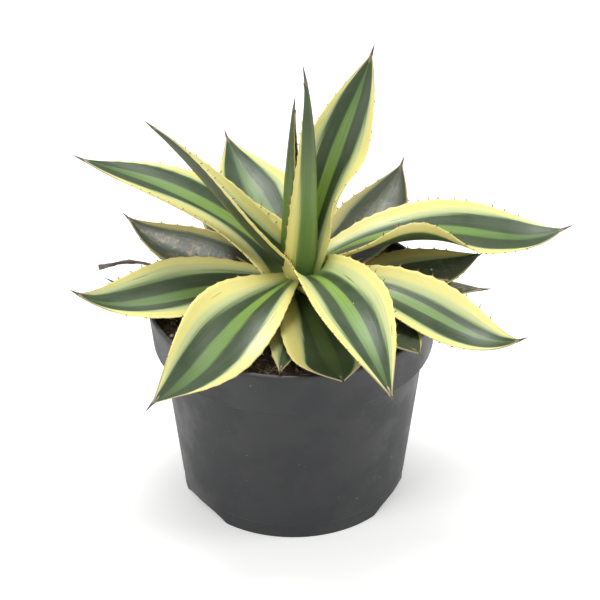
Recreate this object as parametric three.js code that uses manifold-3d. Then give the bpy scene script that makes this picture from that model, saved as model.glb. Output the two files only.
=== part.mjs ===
// A potted agave: a variegated rosette with toothed, striped leaves in a black nursery pot.
// Millimetres, +Z up. The origin is the middle of the pot's base, on the surface it stands on.
// The front of the plant faces -Y. Azimuths are degrees in plan: 0 is +X, 90 is the back, 270 the front.
import * as THREE from "three";
import { mergeGeometries, mergeVertices } from "three/addons/utils/BufferGeometryUtils.js";
import Module from "manifold-3d";

const wasm = await Module();
wasm.setup();

// ---------------------------------------------------------------- driving dimensions

const GAP = 0.3; // clearance between pieces that touch
const ROUND_SIDES = 40; // sides of the pot and the soil

const POT = {
  height: 127,
  wall: 1.6,
  lipRadius: 85,
  lipHeight: 3.4, // thickened band round the top edge
  lipRound: 0.7,
  collarTopRadius: 84.2,
  collarFootRadius: 81.6,
  collarHeight: 29,
  collarRound: 1.2, // rounding of the collar's lower edge
  bodyTopRadius: 76.5,
  bodyRound: 2.5, // height of the hollow under the collar
  footTopRadius: 66.6,
  footRadius: 65.6,
  footHeight: 9, // fine step line just above the bottom edge
  footStep: 0.6,
  discRadius: 50, // flat middle of the base that stands on the surface
  gutterRise: 5.5, // the ring round that disc is raised and holds the drain holes
  gutterSlope: 2.5,
};
const ARCH = { azimuths: [213, 333, 93], width: 34, height: 5, corner: 3 };
const DRAIN = { count: 9, radius: 3.4, ringRadius: 58, sides: 10 };

const SOIL = { level: 121, mound: 3.5, rings: [1, 0.84, 0.62, 0.4, 0.2, 0] };
const WAVES = { height: 0.9, coarse: 0.12, fine: 0.27, fineShare: 0.6 }; // of the soil's top

const AXIS_X = 4; // the stem stands a little right of the pot's middle
const STEM = {
  rootDepth: 22, // root stock below the soil's level
  rootRadius: 8,
  collarRadius: 11.5, // at the soil
  crownRadius: 5,
  crownHeight: 27, // above the soil's level
  sides: 16,
  holeClear: 0.5, // between the stem and its hole in the soil
};

// Every leaf has the same build. A leaf's own values override these.
const LEAF = {
  out: 0, // distance of its foot from the stem's axis
  base: 0.5, // width at the stem, as a share of the full width
  widest: 0.56, // place of the full width along the blade
  taper: 1.7, // above 1 the blade keeps its width longer before the point
  sway: 0, // turn of the blade in plan from stem to tip, degrees
  roll: 0, // turn about its own midrib at the stem, degrees
  twist: 0, // further turn about the midrib up to the tip, degrees
  channelBase: 55, // tilt of the margins against the midrib, degrees
  channel: 24,
  channelTip: 40,
  open: 3, // above 1 the channel opens out soon after the stem
  flick: 0, // upturn of the blade's tip, degrees
  ruffle: 0, // wave of the right margin alone: extra tilt at its crest, degrees
  crest: 0.5, // place of that crest along the blade
  spine: 7, // length of the hard point at its end
};
const OUTLINE = { swell: 1.3, close: 1.1 }; // how the width grows from the stem and closes to the point
const THICKNESS = { midribBase: 5, midribTip: 1.4, margin: 0.8 };
const RUFFLE = { wave: 0.55, waves: 0.6 }; // its length along the blade, and how many waves it lasts
const SPINE_RADIUS = 1;
const TOOTH = {
  length: 2.3,
  lengthSpread: 0.25,
  halfWidth: 1.4,
  spacing: 13,
  spacingSpread: 0.2,
  leanBack: -0.4, // millimetres along the margin at the tooth's point
  leanOut: 1,
  first: 0.14, // places of the first and the last tooth along the blade
  last: 0.83,
};

// From the heart outwards, so that each leaf makes room for the ones listed before it.
// seat is the height on the stem above the soil; rise is the slope of the leaf where it leaves the stem.
const LEAVES = [
  {
    name: "leaf_centre_spear", seat: 17, out: 5, azimuth: 320, rise: 86, droop: -6, flick: 10,
    length: 128, width: 29, base: 1, widest: 0.1, taper: 1.6, spine: 12,
    channelBase: 85, channel: 100, channelTip: 95, open: 2,
  },
  {
    name: "leaf_centre_inner", seat: 24, out: 8, azimuth: 149, rise: 88, droop: -9, roll: 10, twist: 9,
    length: 101.5, width: 21.5, base: 0.93, widest: 0.1, taper: 1.8, spine: 11,
    channelBase: 80, channel: 105, channelTip: 90,
  },
  {
    name: "leaf_left_folded", seat: 22, azimuth: 185, sway: 0,
    rise: 46, droop: -13, flick: -13, roll: -25, twist: 54,
    length: 128, width: 28.5, base: 0.6, widest: 0.48, taper: 1.95,
    channelBase: 100, channel: 50, channelTip: 50,
  },
  {
    name: "leaf_back_tall", seat: 22, azimuth: 47.5, sway: -2,
    rise: 71, droop: 20, flick: 15, roll: 8, twist: 36,
    length: 131, width: 39, base: 0.7, widest: 0.56, taper: 1.65,
    channelBase: 32, channel: 76, channelTip: 18, ruffle: 28, crest: 0.36,
  },
  {
    name: "leaf_front_right", seat: 21, out: 5, azimuth: 290, sway: 4,
    rise: 35, droop: 72, roll: -8, twist: 16,
    length: 134.5, width: 48.5, base: 0.7, widest: 0.54, taper: 1.55,
    channelBase: 92, channel: 46, channelTip: 40,
  },
  {
    name: "leaf_front_left", seat: 20, azimuth: 238.5, sway: -8,
    rise: 10.5, droop: 31, flick: -2, roll: 1, twist: -75,
    length: 139.5, width: 48.5, base: 0.15, widest: 0.58, taper: 1.75,
    channelBase: 37, channel: 30, channelTip: 17,
  },
  {
    name: "leaf_right_long", seat: 20, azimuth: 23, sway: -20,
    rise: 25.5, droop: 67, flick: 67, roll: -23, twist: 40,
    length: 162, width: 50, base: 0.3, widest: 0.6, taper: 1.85,
    channelBase: 44, channel: 58, channelTip: 5, open: 1, ruffle: 38, crest: 0.42,
  },
  {
    name: "leaf_left_long", seat: 18, azimuth: 163.5, sway: 11,
    rise: 42, droop: 37, flick: 21, roll: -23, twist: 31,
    length: 143, width: 37.5, base: 1.1, widest: 0.52, taper: 2.4,
    channelBase: 5, channel: 61, channelTip: 5,
  },
  {
    name: "leaf_back_left", seat: 17, azimuth: 124, sway: -11,
    rise: 33.5, droop: 21, flick: 30, roll: -12, twist: 16,
    length: 103, width: 48, widest: 0.6, taper: 1.25, spine: 6,
    channelBase: 56, channel: 31, channelTip: 35,
  },
  {
    name: "leaf_left_front", seat: 14, azimuth: 185, sway: 20,
    rise: 5, droop: 16, flick: 54, roll: -18, twist: -14,
    length: 132.5, width: 40.5, base: 0.15, widest: 0.54, taper: 1.6,
    channelBase: 45, channel: 28, channelTip: 44,
  },
  {
    name: "leaf_right_front", seat: 15, azimuth: 339, sway: -8,
    rise: 15.5, droop: 60, flick: 80, roll: 0, twist: 26,
    length: 137.5, width: 40.5, base: 0.2, widest: 0.56, taper: 1.85,
    channelBase: 80, channel: 37, channelTip: 21,
  },
  {
    name: "leaf_back_right", seat: 14, azimuth: 39, sway: 30, rise: 4, droop: -23, flick: 8, roll: 12,
    length: 109, width: 40, taper: 1.6, channel: 22,
  },
  {
    name: "leaf_front_short", seat: 12, azimuth: 280.5, sway: 7, rise: -2, droop: 0, flick: 5,
    length: 97, width: 45, widest: 0.66, taper: 3, spine: 3, channel: 12, channelTip: 26,
  },
  {
    name: "leaf_front_right_short", seat: 12, azimuth: 315, rise: 5, droop: 13, roll: -16,
    length: 94, width: 46, taper: 3.2, spine: 3, channel: 14, channelTip: 14,
  },
  {
    name: "leaf_right_low", seat: 11, azimuth: 354, sway: 40, rise: 4, droop: 4, flick: 6, roll: 8,
    length: 110, width: 40, widest: 0.6, spine: 4, channel: 10,
  },
  {
    name: "leaf_left_low", seat: 11, azimuth: 162.4, sway: -15,
    rise: 3, droop: -4, flick: 25, roll: -6, twist: -6, length: 114, width: 39, spine: 6, channel: 30,
  },
  {
    name: "leaf_left_hidden", seat: 9, azimuth: 181, rise: 1, droop: 8, flick: 39,
    length: 108, width: 30,
  },
  {
    name: "leaf_front_sliver", seat: 6, azimuth: 262.4, rise: 4, droop: 4,
    length: 84, width: 19, taper: 2.2, spine: 3, channelBase: 14, channel: 12, channelTip: 20,
  },
  {
    name: "leaf_right_tip", seat: 6.5, azimuth: 354, sway: 2,
    rise: 6, droop: 4, flick: 5, roll: 0, twist: 6, length: 105, width: 26, channel: 12, channelTip: 30,
  },
  { name: "leaf_back_low", seat: 9, azimuth: 85, rise: 22, droop: 30, length: 107, width: 34 },
  {
    name: "leaf_back_low_left", seat: 7, azimuth: 128, rise: 12, droop: 20, flick: 12,
    length: 99, width: 32,
  },
  {
    name: "leaf_back_low_right", seat: 8, azimuth: 52, rise: 10, droop: 16, flick: 10,
    length: 93, width: 32,
  },
];
const BLADE = { across: 4, endRows: [0.88, 0.94, 1], skew: 0.018 };

// The dry strip's route, from the stem outwards: millimetres from the stem's axis and above the soil.
const STALK = {
  route: [
    [-6, 4, 5],
    [-35, 22, 6],
    [-62, 29, 7],
    [-84, 28, 7.6],
    [-92, 27.5, 9.6],
    [-100, 27, 10.9],
    [-109, 25.5, 10.2],
    [-118, 24, 8.7],
  ],
  halfWidth: 1.6,
  halfThickness: 0.9,
  steps: 14,
};

const degrees = THREE.MathUtils.degToRad;
const between = (low, high, share) => low + (high - low) * share;

// ---------------------------------------------------------------- solids

// A closed three.js geometry as a solid that can be joined and cut.
function solidOf(geometry) {
  const bare = geometry.clone();
  bare.deleteAttribute("normal");
  bare.deleteAttribute("uv");
  const merged = mergeVertices(bare);
  return new wasm.Manifold(
    new wasm.Mesh({
      numProp: 3,
      vertProperties: merged.attributes.position.array,
      triVerts: new Uint32Array(merged.index.array),
    }),
  );
}

function geometryOf(solid) {
  const { vertProperties, triVerts } = solid.getMesh();
  const geometry = new THREE.BufferGeometry();
  geometry.setAttribute("position", new THREE.BufferAttribute(vertProperties, 3));
  geometry.setIndex(new THREE.BufferAttribute(triVerts, 1));
  return geometry;
}

// Cutting can leave scraps behind: the piece is the body that holds most of the material.
function largestBody(solid) {
  return solid.decompose().reduce((best, body) => (body.volume() > best.volume() ? body : best));
}

// Turned about +Z from [radius, height] pairs that start and end on the axis.
function turned(profile, sides = ROUND_SIDES) {
  const points = profile.map(([radius, height]) => new THREE.Vector2(radius, height));
  return new THREE.LatheGeometry(points, sides).rotateX(Math.PI / 2);
}

// Seeded draws, so the plant is the same every time.
function drawsFrom(seed) {
  let state = seed;
  return () => {
    state = (state * 1664525 + 1013904223) % 4294967296;
    return state / 4294967296;
  };
}
const spread = (draw, share) => 1 + share * (2 * draw() - 1);

// ---------------------------------------------------------------- pot

const STEP_HEIGHT = POT.height - POT.collarHeight; // where the wall steps out into the collar
const FLOOR_TOP = POT.gutterRise + POT.wall; // upper face of the raised ring of the floor

// The inside of the pot, from its lip down to the middle of the floor, as [radius, height] pairs.
const POT_INSIDE = [
  [POT.collarTopRadius - POT.wall, POT.height - POT.lipRound],
  [POT.collarFootRadius - POT.wall, STEP_HEIGHT + 2.6],
  [POT.bodyTopRadius - POT.wall, STEP_HEIGHT],
  [POT.footTopRadius - POT.wall, FLOOR_TOP + 3],
  [POT.footTopRadius - POT.wall - 1, FLOOR_TOP],
  [POT.discRadius + 1.2, FLOOR_TOP],
  [POT.discRadius - 1.2, POT.wall],
  [0, POT.wall],
];

function potSolid() {
  const p = POT;
  const lipFoot = p.height - p.lipHeight;
  const shell = turned([
    [0, 0],
    [p.discRadius, 0],
    [p.discRadius + p.gutterSlope, p.gutterRise],
    [p.footRadius - p.wall - 0.4, p.gutterRise],
    [p.footRadius - p.wall, 0],
    [p.footRadius, 0],
    [p.footTopRadius - 0.5, p.footHeight],
    [p.footTopRadius, p.footHeight + p.footStep],
    [p.bodyTopRadius, STEP_HEIGHT - p.bodyRound],
    [p.collarFootRadius - p.collarRound, STEP_HEIGHT],
    [p.collarFootRadius, STEP_HEIGHT + p.collarRound],
    [p.collarTopRadius, lipFoot],
    [p.lipRadius, lipFoot + p.lipRound],
    [p.lipRadius, p.height - p.lipRound],
    [p.lipRadius - p.lipRound, p.height],
    [p.collarTopRadius - p.wall + p.lipRound, p.height],
    ...POT_INSIDE,
  ]);
  return solidOf(shell).subtract(solidOf(mergeGeometries([...drainArches(), ...drainHoles()])));
}

// Low arches through the foot ring, that let water run off.
function drainArches() {
  const { width, height, corner } = ARCH;
  const outline = new THREE.Shape();
  outline.moveTo(-width / 2, -1);
  outline.lineTo(width / 2, -1);
  outline.lineTo(width / 2, height - corner);
  outline.quadraticCurveTo(width / 2, height, width / 2 - corner, height);
  outline.lineTo(corner - width / 2, height);
  outline.quadraticCurveTo(-width / 2, height, -width / 2, height - corner);
  const reach = POT.footRadius - POT.discRadius;
  return ARCH.azimuths.map((azimuth) =>
    new THREE.ExtrudeGeometry(outline, { depth: reach, bevelEnabled: false, curveSegments: 3 })
      .rotateX(Math.PI / 2)
      .rotateZ(Math.PI)
      .translate(0, POT.discRadius + 4, 0)
      .rotateZ(degrees(azimuth - 90)),
  );
}

function drainHoles() {
  const { count, radius, ringRadius, sides } = DRAIN;
  return Array.from({ length: count }, (_, i) =>
    new THREE.CylinderGeometry(radius, radius, POT.wall * 3, sides)
      .rotateX(Math.PI / 2)
      .translate(ringRadius, 0, POT.gutterRise + POT.wall / 2)
      .rotateZ((i / count) * Math.PI * 2)
      .toNonIndexed(),
  );
}

// ---------------------------------------------------------------- soil

function soilSolid() {
  const clear = GAP + 0.1;
  const fromFloorUp = POT_INSIDE.slice(1).reverse();
  const inside = fromFloorUp.map(([radius, height]) => [Math.max(radius - clear, 0), height + clear]);
  const [[topRadius, topHeight], [lowRadius, lowHeight]] = POT_INSIDE;
  const share = (SOIL.level - lowHeight) / (topHeight - lowHeight);
  const edge = between(lowRadius, topRadius, share) - clear;
  const top = SOIL.rings.map((part) => [
    edge * part,
    SOIL.level + SOIL.mound * (1 - part) ** 2,
  ]);
  const soil = turned([...inside, ...top]);
  roughen(soil);
  const holeRadius = STEM.collarRadius + STEM.holeClear;
  const holeTop = SOIL.level + SOIL.mound * 3;
  const holeFoot = SOIL.level - STEM.rootDepth - GAP;
  const hole = new THREE.CylinderGeometry(holeRadius, holeRadius, holeTop - holeFoot, STEM.sides)
    .rotateX(Math.PI / 2)
    .translate(AXIS_X, 0, (holeTop + holeFoot) / 2);
  return solidOf(soil).subtract(solidOf(hole));
}

// Raises and lowers the top of the soil in soft waves.
function roughen(soil) {
  const position = soil.attributes.position;
  for (let i = 0; i < position.count; i += 1) {
    const [x, y, z] = [position.getX(i), position.getY(i), position.getZ(i)];
    if (z < SOIL.level - 1) continue;
    const coarse = Math.sin(x * WAVES.coarse + 1) * Math.cos(y * WAVES.coarse);
    const fine = Math.sin((x - y) * WAVES.fine);
    position.setZ(i, z + WAVES.height * (coarse + WAVES.fineShare * fine));
  }
}

// ---------------------------------------------------------------- stem

function stemGeometry(grow) {
  const { rootDepth, rootRadius, collarRadius, crownRadius, crownHeight, sides } = STEM;
  const foot = -rootDepth - grow;
  const profile = [
    [0, foot],
    [rootRadius + grow, foot],
    [collarRadius + grow, -4],
    [collarRadius + grow, 2],
    [(collarRadius + crownRadius) / 2 + grow, crownHeight * 0.6],
    [crownRadius + grow, crownHeight - 2],
    [crownRadius * 0.6 + grow, crownHeight + grow],
    [0, crownHeight + 1 + grow],
  ];
  return turned(profile, sides).translate(AXIS_X, 0, SOIL.level);
}

// ---------------------------------------------------------------- leaves

// The midrib's place, and the blade's directions there, at t from 0 at the stem to 1 at the blade's end.
function frameAt(leaf, t) {
  const foot = degrees(leaf.azimuth);
  const point = new THREE.Vector3(
    AXIS_X + leaf.out * Math.cos(foot),
    leaf.out * Math.sin(foot),
    SOIL.level + leaf.seat,
  );
  const along = new THREE.Vector3();
  const steps = 40;
  const stepLength = (leaf.length * t) / steps;
  for (let i = 0; i <= steps; i += 1) {
    const at = (t * Math.min(i + 0.5, steps)) / steps;
    const slope = degrees(leaf.rise - leaf.droop * at + leaf.flick * at ** 5);
    const heading = degrees(leaf.azimuth + leaf.sway * at);
    along.set(Math.cos(slope) * Math.cos(heading), Math.cos(slope) * Math.sin(heading), Math.sin(slope));
    if (i < steps) point.addScaledVector(along, stepLength);
  }
  const heading = degrees(leaf.azimuth + leaf.sway * t);
  const side = new THREE.Vector3(-Math.sin(heading), Math.cos(heading), 0);
  side.applyAxisAngle(along, degrees(leaf.roll + leaf.twist * t));
  const face = new THREE.Vector3().crossVectors(along, side);
  return { point, along, side, face };
}

function halfWidthAt(leaf, t) {
  const { base, widest, taper, width } = leaf;
  const share =
    t < widest
      ? between(base, 1, Math.sin(((t / widest) * Math.PI) / 2) ** OUTLINE.swell)
      : (1 - ((t - widest) / (1 - widest)) ** taper) ** OUTLINE.close;
  return Math.max((width / 2) * share, SPINE_RADIUS);
}

function channelAt(leaf, t, u) {
  const nearStem = (leaf.channelBase - leaf.channel) * (1 - t) ** leaf.open;
  const nearTip = (leaf.channelTip - leaf.channel) * t ** 3;
  const past = (t - leaf.crest) / RUFFLE.wave;
  const fade = Math.exp(-((past / RUFFLE.waves) ** 2));
  const wave = u < 0 ? leaf.ruffle * Math.cos(past * Math.PI * 2) * fade : 0;
  return degrees(leaf.channel + nearStem + nearTip + wave);
}

// A point of the blade: u runs from -1 to 1 across it, and depth from 0 on its upper face to 1 on its lower.
function bladePoint(leaf, frame, t, u, depth, grow) {
  const half = halfWidthAt(leaf, t);
  const tilt = channelAt(leaf, t, u);
  const radius = half / tilt; // of the channel
  const angle = (tilt * u * (half + grow)) / half;
  const midrib = between(THICKNESS.midribBase, THICKNESS.midribTip, Math.sqrt(t));
  const thickness = THICKNESS.margin + (midrib - THICKNESS.margin) * (1 - u * u);
  const offset = between(grow, -thickness - grow, depth);
  const across = (radius - offset) * Math.sin(angle);
  const lift = radius - (radius - offset) * Math.cos(angle);
  return frame.point.clone().addScaledVector(frame.side, across).addScaledVector(frame.face, lift);
}

// The rows of the blade's grid: each tooth stands on the margin between two rows, opened.
function rowsOf(leaf, grow) {
  const draw = drawsFrom(leaf.seed);
  const { first, last, spacing, spacingSpread, halfWidth } = TOOTH;
  const half = (halfWidth + grow) / leaf.length;
  const rows = [0, first / 2].map((t) => ({ t }));
  for (let t = first; t < last; t += (spacing * spread(draw, spacingSpread)) / leaf.length) {
    rows.push({ t: t - half, tooth: true }, { t: t + half });
  }
  return [...rows, ...BLADE.endRows.map((t) => ({ t }))];
}

// Every triangle from an edge of a closed loop of points to one further point.
const fan = (loop, apex) => loop.flatMap((here, i) => [here, loop[(i + 1) % loop.length], apex]);

// Upper and lower face are the same grid, split into triangles alike. A band closes their border, and rises
// to a point at each tooth and at the terminal spine.
function bladeGeometry(leaf, grow) {
  const { across, skew } = BLADE;
  const rows = rowsOf(leaf, grow);
  const grid = new THREE.PlaneGeometry(2, 1, across, rows.length - 1);
  const size = grid.attributes.position.count;
  const columns = across + 1;
  const points = [];
  for (const depth of [1, 0])
    for (let i = 0; i < size; i += 1) {
      const u = 1 - (2 * (i % columns)) / across;
      const row = rows[Math.floor(i / columns)].t;
      const t = row + skew * u * Math.sin(row * Math.PI);
      points.push(bladePoint(leaf, frameAt(leaf, t), t, u, depth, grow));
    }
  const lower = Array.from(grid.index.array);
  const upper = lower.map((_, i) => lower[i + 2 - 2 * (i % 3)] + size);
  const faces = [...lower, ...upper];
  const wall = (from, to) => [to, from, from + size, to + size];
  const flat = ([a, b, c, d]) => [a, b, c, a, c, d];

  for (let i = 0; i < across; i += 1) faces.push(...flat(wall(i + 1, i)));

  const draw = drawsFrom(leaf.seed + 1);
  for (let i = 0; i < rows.length - 1; i += 1)
    for (const margin of [1, -1]) {
      const near = i * columns + (margin > 0 ? 0 : across);
      const foot = margin > 0 ? wall(near, near + columns) : wall(near + columns, near);
      if (!rows[i].tooth) {
        faces.push(...flat(foot));
        continue;
      }
      const middle = foot.reduce((sum, k) => sum.addScaledVector(points[k], 0.25), new THREE.Vector3());
      const t = (rows[i].t + rows[i + 1].t) / 2;
      const { side, face, along } = frameAt(leaf, t);
      const tilt = channelAt(leaf, t, margin);
      const reach = TOOTH.length * spread(draw, TOOTH.lengthSpread) + grow;
      const lean = between(TOOTH.leanBack, TOOTH.leanOut, draw());
      middle.addScaledVector(side, margin * Math.cos(tilt) * reach);
      middle.addScaledVector(face, Math.sin(tilt) * reach).addScaledVector(along, lean);
      faces.push(...fan(foot, points.push(middle) - 1));
    }

  const last = (rows.length - 1) * columns;
  const lowEnd = Array.from({ length: columns }, (_, i) => last + i);
  const spineFoot = [...lowEnd.map((k) => k + size), ...lowEnd.reverse()];
  const { point, along, face } = frameAt(leaf, 1);
  point.addScaledVector(along, leaf.spine + grow).addScaledVector(face, -THICKNESS.midribTip / 2);
  faces.push(...fan(spineFoot, points.push(point) - 1));

  return new THREE.BufferGeometry().setFromPoints(points).setIndex(faces);
}

// ---------------------------------------------------------------- dry stalk

// What is left of an old leaf: a dry strip that leaves the stem low down and curls over the rim.
function stalkGeometry() {
  const route = new THREE.CatmullRomCurve3(
    STALK.route.map(([x, y, z]) => new THREE.Vector3(x + AXIS_X, y, z + SOIL.level)),
  );
  const { halfWidth, halfThickness } = STALK;
  const section = new THREE.Shape();
  section.moveTo(-halfThickness, 0);
  section.lineTo(-halfThickness * 0.7, -halfWidth);
  section.lineTo(halfThickness * 0.7, -halfWidth);
  section.lineTo(halfThickness, 0);
  section.lineTo(halfThickness * 0.7, halfWidth);
  section.lineTo(-halfThickness * 0.7, halfWidth);
  return new THREE.ExtrudeGeometry(section, { steps: STALK.steps, extrudePath: route });
}

// ---------------------------------------------------------------- assembly

const plant = new THREE.Group();

function addPiece(name, geometry, color, roughness) {
  const material = new THREE.MeshStandardMaterial({ color, roughness, metalness: 0 });
  const mesh = new THREE.Mesh(geometry, material);
  mesh.name = name;
  plant.add(mesh);
}

addPiece("pot", geometryOf(potSolid()), 0x3a3b3d, 0.5);
addPiece("soil", geometryOf(soilSolid()), 0x3b2a1e, 1);
addPiece("stem", stemGeometry(0), 0x8a9a55, 0.8);

let taken = solidOf(stemGeometry(GAP));
LEAVES.forEach((own, i) => {
  const leaf = { ...LEAF, ...own, seed: 11 + 7 * i };
  const whole = solidOf(bladeGeometry(leaf, 0));
  addPiece(leaf.name, geometryOf(largestBody(whole.subtract(taken))), 0x6f9a4f, 0.5);
  taken = taken.add(solidOf(bladeGeometry(leaf, GAP)));
});

const stalk = solidOf(stalkGeometry()).subtract(taken);
addPiece("dry_stalk", geometryOf(largestBody(stalk)), 0x4a4038, 0.9);

export default plant;
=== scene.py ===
from math import atan2, cos, degrees, exp, hypot, pi, radians, sin, sqrt
from random import Random

import bmesh
import bpy
from mathutils import Matrix, Quaternion, Vector, noise


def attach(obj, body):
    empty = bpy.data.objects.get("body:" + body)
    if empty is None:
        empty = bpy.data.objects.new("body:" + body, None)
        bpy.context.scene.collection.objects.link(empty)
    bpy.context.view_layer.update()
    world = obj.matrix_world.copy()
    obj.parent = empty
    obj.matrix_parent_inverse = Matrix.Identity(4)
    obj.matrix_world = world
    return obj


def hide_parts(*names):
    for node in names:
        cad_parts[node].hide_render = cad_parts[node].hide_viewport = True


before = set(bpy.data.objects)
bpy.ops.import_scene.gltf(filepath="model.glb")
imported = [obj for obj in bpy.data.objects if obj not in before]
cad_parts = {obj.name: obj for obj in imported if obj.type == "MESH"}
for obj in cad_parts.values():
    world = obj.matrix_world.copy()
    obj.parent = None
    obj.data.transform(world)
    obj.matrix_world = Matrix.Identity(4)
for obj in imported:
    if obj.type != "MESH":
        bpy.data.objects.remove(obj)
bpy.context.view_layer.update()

# ---------------------------------------------------------------- pot
# A thin black pot of moulded plastic, 17 cm across its rim. It has a thickened lip, a deep collar, a
# tapered wall and a foot ring with three low drain arches; its floor is a flat disc inside a raised
# ring with drain holes. Its surface is satin, dusty and a little scuffed, most of all along the lip.

POT_SIDES = 240
POT_OUTSIDE = [  # radius and height in millimetres, from the middle of the base up to the lip
    (0, 0), (50, 0), (52.5, 5.5), (63.6, 5.5), (64, 0), (65.6, 0), (66.1, 9), (66.6, 9.6),
    (76.5, 95.5), (80.4, 98), (81.6, 99.2), (84.2, 123.6), (85, 124.3), (85, 126.3),
    (84.3, 127), (83.3, 127),
]
POT_INSIDE = [
    (82.6, 126.3), (80, 100.6), (74.9, 98), (65, 10.1), (64, 7.1), (51.2, 7.1), (48.8, 1.6), (0, 1.6),
]
POT_ROUNDING = 0.35  # of its edges sharper than the angle below, in degrees
POT_SHARP = 20
LIP_WEAR = (0.1255, 0.1268)  # heights in metres where the lip starts to be worn, and where it is most
# The arches are cut into the foot ring, outside the inner radius and under a height. The powers shape
# their outline: flat over the middle, and soft where it runs out into the ring.
ARCHES = {
    "azimuths": (215, 335, 95), "width": 42, "height": 5, "under": 5.5, "inner": 63, "crown": 3, "ends": 1.2,
}
DRAINS = {"count": 9, "radius": 3.4, "ring": 58, "middle": 6.3, "depth": 6, "sides": 24}


def metres(values):
    return [value / 1000 for value in values]


def turned(profile, sides):
    """A bmesh turned about +Z from radius and height pairs in millimetres."""
    bm = bmesh.new()
    points = [bm.verts.new(metres((radius, 0, height))) for radius, height in profile]
    line = [bm.edges.new(pair) for pair in zip(points, points[1:])]
    bmesh.ops.spin(
        bm, geom=points + line, cent=(0, 0, 0), axis=(0, 0, 1), angle=2 * pi, steps=sides,
        use_merge=True, use_duplicate=False,
    )
    bmesh.ops.remove_doubles(bm, verts=bm.verts, dist=1e-6)
    bmesh.ops.recalc_face_normals(bm, faces=bm.faces)
    return bm


def as_piece(bm, name, materials, slot, *nodes):
    """The finished piece: it rides with the part and replaces its plain solids; the slot is not used."""
    mesh = bpy.data.meshes.new(name)
    bm.to_mesh(mesh)
    bm.free()
    for material in materials:
        mesh.materials.append(material)
    mesh.shade_smooth()
    piece = bpy.data.objects.new(name, mesh)
    bpy.context.scene.collection.objects.link(piece)
    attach(piece, "root")
    if nodes:
        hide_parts(*nodes)
    return piece


def seen(red, green, blue):
    """A colour as the eye reads it, 0 to 255, for a shader."""
    return tuple(((c / 255 + 0.055) / 1.055) ** 2.4 for c in (red, green, blue)) + (1,)


def node(tree, kind, inputs=None, **settings):
    made = tree.nodes.new(kind)
    for name, value in settings.items():
        setattr(made, name, value)
    for name, value in (inputs or {}).items():
        if isinstance(value, bpy.types.NodeSocket):
            tree.links.new(value, made.inputs[name])
        else:
            made.inputs[name].default_value = value
    return made


def maths(tree, operation, *values):
    return node(tree, "ShaderNodeMath", dict(enumerate(values)), operation=operation).outputs[0]


def fade(tree, value, low, high, at_low=0.0, at_high=1.0):
    """A soft step from at_low, where value is low, to at_high, where it is high."""
    inputs = {0: value, 1: low, 2: high, 3: at_low, 4: at_high}
    return node(tree, "ShaderNodeMapRange", inputs, interpolation_type="SMOOTHSTEP").outputs[0]


def blended(tree, share, first, second, mode="MIX"):
    inputs = {0: share, 6: first, 7: second}
    return node(tree, "ShaderNodeMix", inputs, data_type="RGBA", blend_type=mode).outputs[2]


def new_material(name, **values):
    """A material with its tree and its Principled shader, with the values that are the same all over."""
    made = bpy.data.materials.new(name)
    made.use_nodes = True
    shader = made.node_tree.nodes["Principled BSDF"]
    for label, value in values.items():
        shader.inputs[label.replace("_", " ")].default_value = value
    return made, made.node_tree, shader.inputs


def new_effect(name, inputs, outputs):
    """A shader group with named sockets: its tree, the inputs to read and the outputs to feed."""
    tree = bpy.data.node_groups.new(name, "ShaderNodeTree")
    for label, kind in inputs.items():
        tree.interface.new_socket(label, in_out="INPUT", socket_type="NodeSocket" + kind)
    for label, kind in outputs.items():
        tree.interface.new_socket(label, in_out="OUTPUT", socket_type="NodeSocket" + kind)
    return tree, tree.nodes.new("NodeGroupInput").outputs, tree.nodes.new("NodeGroupOutput").inputs


def effect(tree, group, **values):
    """Places a shader group in a tree with its own values, and gives its outputs."""
    made = node(tree, "ShaderNodeGroup", node_tree=group)
    for label, value in values.items():
        if isinstance(value, bpy.types.NodeSocket):
            tree.links.new(value, made.inputs[label])
        else:
            made.inputs[label].default_value = value
    return made.outputs


def bumped(tree, height, strength, distance):
    inputs = {"Height": height, "Strength": strength, "Distance": distance}
    return node(tree, "ShaderNodeBump", inputs).outputs[0]


def object_place(tree):
    return node(tree, "ShaderNodeTexCoord").outputs["Object"]


# Patches with soft edges, such as dust, damp and handling marks leave.
clouds, given, out = new_effect(
    "Clouds", {"Vector": "Vector", "Scale": "Float", "Roughness": "Float"}, {"Value": "Float"}
)
patch = node(
    clouds, "ShaderNodeTexNoise",
    {"Vector": given["Vector"], "Scale": given["Scale"], "Detail": 4, "Roughness": given["Roughness"]},
)
clouds.links.new(fade(clouds, patch.outputs[0], 0.3, 0.7), out["Value"])

# Small scattered spots: dust grains, dried drops and grit.
specks, given, out = new_effect(
    "Specks", {"Vector": "Vector", "Scale": "Float", "Size": "Float", "Share": "Float"}, {"Mask": "Float"}
)
finer = maths(specks, "MULTIPLY", given["Scale"], 3)
wobble = node(specks, "ShaderNodeTexNoise", {"Vector": given["Vector"], "Scale": finer})
spot = node(specks, "ShaderNodeTexVoronoi", {"Vector": given["Vector"], "Scale": given["Scale"]})
chance = node(specks, "ShaderNodeSeparateColor", {0: spot.outputs["Color"]}).outputs
reach = maths(specks, "MULTIPLY", given["Size"], fade(specks, wobble.outputs[0], 0.3, 0.7, 0.5, 1.5))
reach = maths(specks, "MULTIPLY", reach, chance[1])
inside = maths(specks, "LESS_THAN", spot.outputs["Distance"], reach)
kept = maths(specks, "LESS_THAN", chance[0], given["Share"])
specks.links.new(maths(specks, "MULTIPLY", inside, kept), out["Mask"])

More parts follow.
